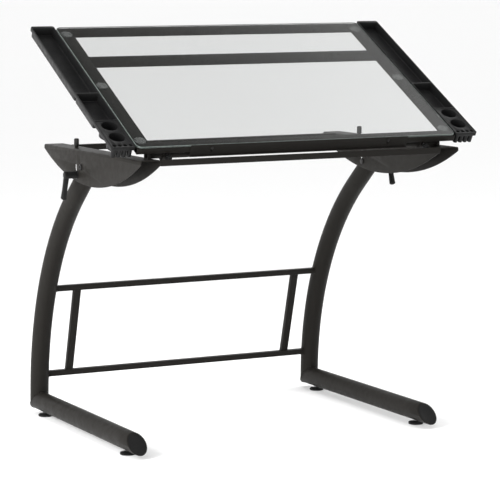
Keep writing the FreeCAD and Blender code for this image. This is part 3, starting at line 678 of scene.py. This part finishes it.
def clamp_bolts():
    """The height clamps' bolts and the washers under their levers."""
    for side, _ in SIDES:
        softened_copy(f"{side}_clamp_bolt", 0.5 * MM, "base", "black_bolts")
        softened_copy(f"{side}_lever_washer", 0.25 * MM, f"{side}_lever", "black_bolts")


def cradle_bars():
    """The crossbars, the hinge tube and its lugs, with their welds."""
    for node in ("front_crossbar", "rear_crossbar"):
        softened_copy(node, 1.5 * MM, "cradle", "charcoal_steel", 3)
    softened_copy("hinge_tube", 0.3 * MM, "cradle", "charcoal_steel")
    welds = []
    for node in ("front_crossbar", "rear_crossbar"):
        low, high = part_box(node)
        for x in (low.x + 0.4 * MM, high.x - 0.4 * MM):
            place = lambda y, z, x=x: Vector((x, y, z))
            inset = 0.7 * MM
            seam = corner_loop(low.y + inset, high.y - inset, low.z + inset, high.z - MM, place, 1.5 * MM)
            welds.append(bead(seam, 0.8 * MM, seed=x))
    weld_piece("crossbar_welds", "cradle", joined(welds))
    for side, _ in SIDES:
        softened_copy(f"{side}_hinge_lug", 0.8 * MM, "cradle", "charcoal_steel")
        low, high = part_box(f"{side}_hinge_lug")
        place = lambda x, y, z=low.z: Vector((x, y, z + 0.3 * MM))
        seam = corner_loop(low.x, high.x, low.y, high.y, place, 1 * MM)
        weld_piece(f"{side}_lug_weld", "cradle", bead(seam, 0.9 * MM, seed=low.x))


def rest_peg(side):
    """A turned post with a domed rubber cap."""
    low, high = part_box(f"{side}_rest_peg")
    here = Matrix.Translation(((low.x + high.x) / 2, (low.y + high.y) / 2, 0))
    radius = (high.x - low.x) / 2
    post = turned([(radius, low.z), (radius, high.z - MM), (radius - 0.6 * MM, high.z)], 36)
    placed(smoothed(new_object(f"{side}_peg_post", moved(post, here))), "cradle", "charcoal_steel", steel,
           f"{side}_rest_peg")
    low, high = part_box(f"{side}_peg_cap")
    radius = (high.x - low.x) / 2
    profile = [(radius - 1.5 * MM, low.z), (radius - 0.3 * MM, low.z), (radius, low.z + 0.5 * MM),
               (radius, low.z + 2.0 * MM), (radius - 0.5 * MM, low.z + 2.6 * MM)]
    dome = 3.2 * MM
    for i in range(7):
        turn = math.radians(90 * i / 6)
        profile.append((radius - 0.5 * MM - dome + dome * math.cos(turn),
                        high.z - dome + dome * math.sin(turn)))
    cap = smoothed(new_object(f"{side}_peg_tip", moved(turned(profile, 40), here)))
    placed(cap, "cradle", "black_rubber", rubber_skin, f"{side}_peg_cap")


# ---- clamp levers and tilt knobs -----------------------------------------------------------------

LEVER_SWING = {"left": 20, "right": -16}


def clamp_lever(side, sign):
    """A ribbed hub with a flat tapering handle that swells at its tip."""
    pivot = Vector(joints[f"{side}_lever_turn"]["pos_m"])
    low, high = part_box(f"{side}_clamp_lever")
    near, far = (abs(value) for value in ((low.x, high.x) if sign > 0 else (high.x, low.x)))
    radius, long = 9.5 * MM, far - near
    profile = [(radius - 1.6 * MM, 0.0), (radius - 0.5 * MM, 0.3 * MM), (radius - 0.5 * MM, 1.6 * MM)]
    ribs, ribbed = 7, long - 13 * MM
    for i in range(ribs):
        start = 2.4 * MM + i * ribbed / ribs
        step = ribbed / ribs
        profile += [(radius - 0.9 * MM, start), (radius - 0.1 * MM, start + 0.25 * step),
                    (radius - 0.1 * MM, start + 0.7 * step), (radius - 0.9 * MM, start + 0.92 * step)]
    profile += [(radius, long - 10 * MM), (radius, long - 2.2 * MM), (radius - 0.5 * MM, long - 0.9 * MM),
                (radius - 1.8 * MM, long - 0.15 * MM), (radius - 4 * MM, long)]
    hub = turned(profile, 56)
    rings = []
    reach, thick = 69 * MM, 14 * MM
    stations = 26
    for i in range(stations + 1):
        t = i / stations
        across = (5 + 3.0 * t) * MM - 0.9 * MM * math.exp(-((t - 0.5) / 0.25) ** 2)
        deep = thick / 2 - 0.5 * MM + 0.45 * MM * math.cos(math.pi * (t - 0.05)) ** 2
        end = min(1.0, (1 - t) / 0.045) if t > 0.955 else 1.0
        shrink = math.sqrt(max(0.0, 1 - (1 - end) ** 2)) * 0.55 + 0.45
        across, deep = across * shrink, deep * shrink
        rings.append([(-t * reach, u, long - thick / 2 + w) for u, w in
                      rounded_outline(-across, across, -deep, deep, min(across, deep) * 0.72, 5)])
    handle = loft(rings)
    item = boolean(new_object(f"{side}_lever_grip", hub), [handle], "UNION")
    # local Z is the bolt's outward direction, local -X hangs down from the hub
    basis = Matrix(((0, 0, sign, 0), (0, -sign, 0, 0), (1, 0, 0, 0), (0, 0, 0, 1)))
    swing = Matrix.Rotation(math.radians(LEVER_SWING[side]), 4, "X")
    cleaned(item)
    softened(item, 0.5 * MM, 2, 48)
    item.data.transform(Matrix.Translation((sign * near, pivot.y, pivot.z)) @ swing @ basis)
    smoothed(item, 38)
    placed(item, f"{side}_lever", "black_plastic", hard_plastic, f"{side}_clamp_lever")


def tilt_knob(side):
    """A fluted knob with a dished face, and its plain stud."""
    low, high = top_box(f"{side}_tilt_knob")
    radius, long = (high.x - low.x) / 2, high.y - low.y
    x, n = (low.x + high.x) / 2, (low.z + high.z) / 2
    profile = [(radius - 2.2 * MM, 0.0), (radius - 1.4 * MM, 0.25 * MM), (radius - 0.3 * MM, 1.3 * MM, 0.6),
               (radius, 2.4 * MM, 1), (radius, long - 2.6 * MM, 1), (radius - 0.5 * MM, long - 1.2 * MM, 0.7),
               (radius - 1.8 * MM, long - 0.2 * MM), (radius - 2.8 * MM, long),
               (radius - 3.8 * MM, long - 0.5 * MM)]
    stand = TOP @ Matrix.Translation((x, high.y, n)) @ Matrix.Rotation(math.radians(90), 4, "X")
    grip = moved(turned(profile, 96, 12, 1.0 * MM), stand)
    placed(smoothed(new_object(f"{side}_knob_grip", grip), 40), f"{side}_knob", "black_plastic", hard_plastic,
           f"{side}_tilt_knob")
    softened_copy(f"{side}_knob_stud", 0.3 * MM, f"{side}_knob", "zinc_steel")


# ---- top: rails, glass, ledge, trays --------------------------------------------------------------

def top_frame():
    """The box front rail and the four angle rails, welded where they meet."""
    softened_copy("front_rail", 1.3 * MM, "table_top", "charcoal_steel", 3)
    for node in ("left_rail", "right_rail", "middle_rail", "rear_rail"):
        softened_copy(node, 0.7 * MM, "table_top", "charcoal_steel", 3)
    sheet = 2 * MM
    seams = []
    for node in ("middle_rail", "rear_rail"):
        low, high = top_box(node)
        seams += [((x, low.y), (x, high.y), high.z) for x in (low.x, high.x)]
    for node in ("left_rail", "right_rail"):
        low, high = top_box(node)
        seams.append(((low.x, low.y), (high.x, low.y), high.z))
    welds = []
    for start, stop, rail_top in seams:
        length = math.dist(start, stop)
        count = int(length / WELD_STEP)
        for n in (rail_top - 0.25 * MM, rail_top - sheet + 0.25 * MM):
            line = [TOP @ Vector((start[0] + (stop[0] - start[0]) * i / count,
                                  start[1] + (stop[1] - start[1]) * i / count, n)) for i in range(count + 1)]
            welds.append(bead(line, 0.7 * MM, closed=False, seed=length + n))
    weld_piece("frame_welds", "table_top", joined(welds))
    for side, _ in SIDES:
        softened_copy(f"{side}_tilt_collar", 0.7 * MM, "table_top", "charcoal_steel")
        softened_copy(f"{side}_tray_supports", 0.35 * MM, "table_top", "charcoal_steel")


def glass_pane():
    """The pane with ground, chamfered rims and round corners."""
    corner, arris = 14 * MM, 0.9 * MM
    thick = glass_high.z - glass_low.z
    levels = ((arris, -thick), (0.0, -thick + arris), (0.0, -arris), (arris, 0.0))
    mesh = rounded_block(glass_low.x, glass_high.x, V0, glass_high.y,
                         [(inset, N0 + height) for inset, height in levels], corner, 10)
    item = new_object("glass_pane", mesh)
    item.data.materials.append(glass)
    item.data.materials.append(glass_rim)
    item.data.materials.append(glass_arris_painted_highlight)
    for face in item.data.polygons:
        # the chamfer facing up takes the lighter arris tone, a painted highlight; the sides and the lower chamfer
        # take the darker rim tone
        face.material_index = 0 if abs(face.normal.z) > 0.9 else 2 if face.normal.z > 0.3 else 1
    item.data.transform(TOP)
    placed(smoothed(item, 20), "table_top", "table_glass", None, "glass_top")


def bumper_pads():
    """Six clear discs between the side rails and the glass, eased at the rim."""
    low, high = top_box("glass_pads")
    rail_low, rail_high = top_box("right_rail")
    radius, across = 15 * MM, (rail_low.x + rail_high.x) / 2
    places = (low.y + radius, (low.y + high.y) / 2, high.y - radius)
    thick = high.z - low.z
    discs = []
    for _, sign in SIDES:
        for v in places:
            disc = turned([(radius - 0.5 * MM, 0.0), (radius, 0.35 * MM), (radius, thick - 0.5 * MM),
                           (radius - 0.6 * MM, thick)], 44)
            discs.append(moved(disc, TOP @ Matrix.Translation((sign * across, v, low.z))))
    placed(smoothed(new_object("bumper_discs", joined(discs))), "table_top", "clear_pad", vinyl, "glass_pads")


def ledge():
    """The steel strip, folded forward into a lip, with two slots and the screws through them."""
    low, high = top_box("pencil_ledge")
    thick, bend = 2 * MM, 2.6 * MM
    back, lip, base, rim = high.y, low.y, low.z, high.z
    outer = [(back, rim - 0.5 * MM), (back - 0.5 * MM, rim), (back - thick + 0.5 * MM, rim),
             (back - thick, rim - 0.5 * MM), (back - thick, base + thick)]
    inner = [(lip + 0.5 * MM, base + thick), (lip, base + thick - 0.5 * MM), (lip, base + 0.5 * MM),
             (lip + 0.5 * MM, base)]
    turns = [math.radians(angle) for angle in range(0, 91, 15)]
    turn_in = [(back - bend + bend * math.sin(turn), base + bend - bend * math.cos(turn)) for turn in turns]
    section = outer + inner + turn_in
    half = high.x
    rings = [[(x, v, n) for v, n in section] for x in (-half, -half * 0.5, 0, half * 0.5, half)]
    item = new_object("ledge_strip", loft(rings))
    slot_x, slot_half = 248 * MM, 2.3 * MM
    slot_top, slot_tall = N0 - 7 * MM, 14 * MM
    cutters = []
    for _, sign in SIDES:
        shape = rounded_outline(sign * slot_x - slot_half, sign * slot_x + slot_half,
                                slot_top - slot_tall, slot_top, slot_half * 0.98, 8)
        cutters.append(loft([[(x, v, n) for x, n in shape] for v in (back - thick - MM, back + MM)]))
    boolean(item, cutters, "DIFFERENCE")
    cleaned(item)
    softened(item, 0.3 * MM, 2, 50)
    item.data.transform(TOP)
    placed(smoothed(item, 30), "ledge", "charcoal_steel", steel, "pencil_ledge")
    screw_low, screw_high = top_box("ledge_screws")
    head = (screw_high.z - screw_low.z) / 2
    middle = (screw_high.z + screw_low.z) / 2
    long = screw_high.y - screw_low.y
    heads = []
    for _, sign in SIDES:
        profile = [(2 * MM, 0.0), (2 * MM, long - 2 * MM), (head, long - 2 * MM), (head, long - 1.2 * MM),
                   (head - 0.7 * MM, long - 0.4 * MM), (head - 1.8 * MM, long)]
        forward = Matrix.Rotation(math.radians(90), 4, "X")
        stand = Matrix.Translation((sign * slot_x, screw_high.y, middle)) @ forward
        one = new_object("screw", moved(turned(profile, 32), stand))
        bars = []
        for wide, tall in ((1.9 * MM, 0.3 * MM), (0.3 * MM, 1.9 * MM)):
            x, v = sign * slot_x, screw_low.y
            shape = [(x - wide, middle - tall), (x + wide, middle - tall),
                     (x + wide, middle + tall), (x - wide, middle + tall)]
            bars.append(loft([[(a, b, c) for a, c in shape] for b in (v - MM, v + 1.1 * MM)]))
        boolean(one, bars, "DIFFERENCE")
        mesh = bmesh.new()
        mesh.from_mesh(one.data)
        bpy.data.objects.remove(one)
        heads.append(mesh)
    screws = joined(heads)
    placed(smoothed(new_object("ledge_screw_heads", moved(screws, TOP)), 35), "table_top", "black_bolts",
           oxide, "ledge_screws")


def tray(side, sign):
    """A moulded tray: a rim band with two drafted tubs, two cups and a row of pen sleeves below."""
    low, high = top_box(f"{side}_tray")
    top = high.z
    wall, corner, band = 2.2 * MM, 6 * MM, 9.5 * MM
    deep, cup_deep = 24 * MM, high.z - low.z
    front, rear = low.y, high.y
    split_front, split_rear = V0 + 128 * MM, V0 + 260 * MM
    cup_x = sign * 482 * MM
    rim = rounded_block(low.x, high.x, front, rear,
                        ((0.25 * MM, top - band), (0.0, top - band + 0.4 * MM), (0.0, top)), corner, 8)
    item = new_object(f"{side}_tray_body", rim)
    under = rounded_block(low.x + wall, high.x - wall, front + wall, rear - wall,
                          ((0.0, top - band - MM), (0.0, top - 2.4 * MM)), corner - wall, 8)
    boolean(item, [under], "DIFFERENCE")
    tubs = ((split_rear + 1.2 * MM, rear - 9 * MM), (split_front + 1.2 * MM, split_rear - 1.2 * MM))
    draft = 1.8 * MM
    outers = [rounded_block(low.x + 0.7 * MM, high.x - 0.7 * MM, start, stop,
                            ((draft + 1.3 * MM, top - deep), (draft, top - deep + 1.2 * MM),
                             (0.0, top - 1.5 * MM)), 5 * MM, 6) for start, stop in tubs]
    pens = [sign * (461 + 14 * index) * MM for index in range(4)]
    pen_v = V0 + 13 * MM
    cups = (V0 + 51 * MM, V0 + 103 * MM)
    for v in cups:
        outers.append(moved(turned([(20.6 * MM, top - cup_deep), (21.4 * MM, top - cup_deep + 0.8 * MM),
                                    (22.6 * MM, top - 2.0 * MM)], 56), Matrix.Translation((cup_x, v, 0))))
    for x in pens:
        outers.append(moved(turned([(5.6 * MM, top - cup_deep), (6.1 * MM, top - cup_deep + 0.5 * MM),
                                    (6.7 * MM, top - 2.0 * MM)], 28), Matrix.Translation((x, pen_v, 0))))
    boolean(item, outers, "UNION")
    hollows = [rounded_block(low.x + wall, high.x - wall, start + 1.0 * MM, stop - 1.0 * MM,
                             ((draft + 1.6 * MM, top - deep + wall),
                              (draft + 0.5 * MM, top - deep + wall + 1.2 * MM), (0.0, top + MM)), 4 * MM, 6)
               for start, stop in reversed(tubs)]
    for v in cups:
        hollows.append(moved(turned([(18.6 * MM, top - cup_deep + wall),
                                     (19.8 * MM, top - cup_deep + wall + MM),
                                     (21.0 * MM, top + MM)], 56), Matrix.Translation((cup_x, v, 0))))
    for x in pens:
        hollows.append(moved(turned([(4.6 * MM, top - cup_deep + wall), (5.2 * MM, top + MM)], 28),
                             Matrix.Translation((x, pen_v, 0))))
    # the deck round the cups sits a little below the rim
    deck = rounded_block(low.x + wall, high.x - wall, front + wall, split_front - MM,
                         ((0.0, top - 1.0 * MM), (0.0, top + MM)), corner - wall, 8)
    boolean(item, hollows + [deck], "DIFFERENCE")
    cleaned(item)
    softened(item, 0.32 * MM, 2, 40)
    item.data.transform(TOP)
    placed(smoothed(item, 32), f"{side}_side_tray", "tray_plastic", tray_plastic, f"{side}_tray")


# ---- assembly --------------------------------------------------------------------------------------

slots = {piece["node"]: piece["material_slot"] for piece in frame["record"]["subparts"]}
for node, item in frame["nodes"].items():
    item.data.materials.clear()
    item.data.materials.append(SLOT_FINISH[slots[node]])

for side, sign in SIDES:
    leg(side, sign)
    foot(side, sign)
    bracket(side)
    rest_peg(side)
    clamp_lever(side, sign)
    tilt_knob(side)
    tray(side, sign)
    for place in ("front", "rear"):
        leveler(place, side)
brace()
pivot_bolts()
clamp_bolts()
cradle_bars()
top_frame()
glass_pane()
bumper_pads()
ledge()


# ---- floor, light and camera -------------------------------------------------------------------------

def floor():
    """A wide pale floor, very slightly uneven in tone."""
    size = 160.0
    sheet = bmesh.new()
    corners = ((-1, -1), (1, -1), (1, 1), (-1, 1))
    sheet.faces.new([sheet.verts.new((x * size, y * size, 0)) for x, y in corners])
    item = new_object("floor", sheet)
    finish = Finish("pale_floor", (0.97, 0.97, 0.97), 0.7, Specular_IOR_Level=0.2)
    finish.drive("Base Color", finish.mix(finish.noise(1.5, 2), (0.965, 0.965, 0.965), (0.975, 0.975, 0.975)))
    item.data.materials.append(finish.material)


def area_light(name, place, target, size, power):
    light = bpy.data.lights.new(name, "AREA")
    light.shape = "RECTANGLE"
    light.size, light.size_y = size
    light.energy = power
    lamp = bpy.data.objects.new(name, light)
    scene.collection.objects.link(lamp)
    lamp.location = place
    lamp.visible_glossy = False
    lamp.visible_transmission = False
    lamp.rotation_euler = (Vector(target) - Vector(place)).to_track_quat("-Z", "Y").to_euler()


def studio():
    """A white surround with one soft dark patch overhead, which the glass mirrors."""
    world = bpy.data.worlds.new("studio")
    world.use_nodes = True
    tree = world.node_tree
    sky = tree.nodes["Background"]
    toward_patch = tree.nodes.new("ShaderNodeVectorMath")
    toward_patch.operation = "DOT_PRODUCT"
    patch = Vector((0.20, 0.46, 0.865))
    toward_patch.inputs[1].default_value = patch.normalized()
    tree.links.new(tree.nodes.new("ShaderNodeTexCoord").outputs["Generated"], toward_patch.inputs[0])
    fade = tree.nodes.new("ShaderNodeMapRange")
    fade.interpolation_type = "SMOOTHSTEP"
    tree.links.new(toward_patch.outputs["Value"], fade.inputs["Value"])
    for name, number in (("From Min", 0.90), ("From Max", 0.99), ("To Min", 1.08), ("To Max", 0.10)):
        fade.inputs[name].default_value = number
    tree.links.new(fade.outputs["Result"], sky.inputs["Strength"])
    sky.inputs["Color"].default_value = (1, 1, 1, 1)
    scene.world = world
    centre = (0, 0, 0.5)
    area_light("overhead", (0.3, 0.2, 3.4), centre, (3.2, 2.6), 40)
    area_light("left_window", (-3.2, -0.6, 1.5), centre, (1.8, 2.2), 150)
    area_light("right_fill", (3.0, -2.4, 1.8), centre, (1.4, 1.6), 6)


def camera():
    """Where the table is seen from: a long lens, low and to the left of the front."""
    lens = bpy.data.cameras.new("camera")
    lens.lens, lens.sensor_width = 165.08, 36
    lens.clip_end = 500
    eye = bpy.data.objects.new("camera", lens)
    scene.collection.objects.link(eye)
    standpoint = (-2.6521, -5.4472, 1.2089)
    azimuth, elevation, roll = (math.radians(angle) for angle in (-26.33, 6.98, -0.30))
    back = Vector((math.sin(azimuth) * math.cos(elevation), -math.cos(azimuth) * math.cos(elevation),
                   math.sin(elevation)))
    right = (-back).cross(Vector((0, 0, 1))).normalized()
    up = right.cross(-back)
    turned_right = right * math.cos(roll) + up * math.sin(roll)
    turned_up = up * math.cos(roll) - right * math.sin(roll)
    eye.matrix_world = Matrix.Translation(standpoint) @ Matrix(
        (turned_right, turned_up, back)).transposed().to_4x4()
    scene.camera = eye


floor()
studio()
camera()
scene.view_settings.view_transform = "Standard"
scene.view_settings.look = "None"
